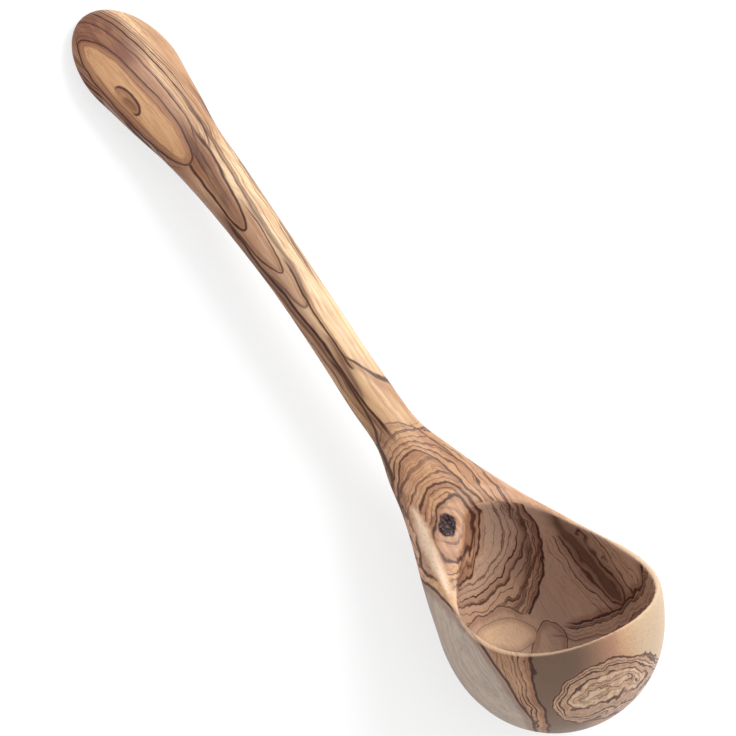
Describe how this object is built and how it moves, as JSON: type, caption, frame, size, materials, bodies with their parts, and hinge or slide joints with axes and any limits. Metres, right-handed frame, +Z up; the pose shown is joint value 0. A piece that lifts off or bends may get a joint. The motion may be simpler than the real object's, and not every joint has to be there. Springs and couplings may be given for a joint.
{
  "type": "soup ladle",
  "caption": "One-piece carved olive-wood soup ladle: a deep round bowl whose sides draw in to a slim neck and a flat, rounded paddle grip, for dipping and serving liquids.",
  "frame": {"origin": "Where the back of the bowl touches the table when the ladle lies at rest, in its plane of symmetry; z = 0 is the table.", "axes": "+X runs along the ladle from grip to bowl, parallel to the table; +Y is across the ladle, to its left seen from behind the grip; +Z is up from the table."},
  "size_m": [0.3143, 0.0766, 0.0753],
  "materials": {
    "olive_wood": "oiled satin"
  },
  "bodies": {
    "root": {"ladle": "olive_wood"}
  },
  "joints": []
}
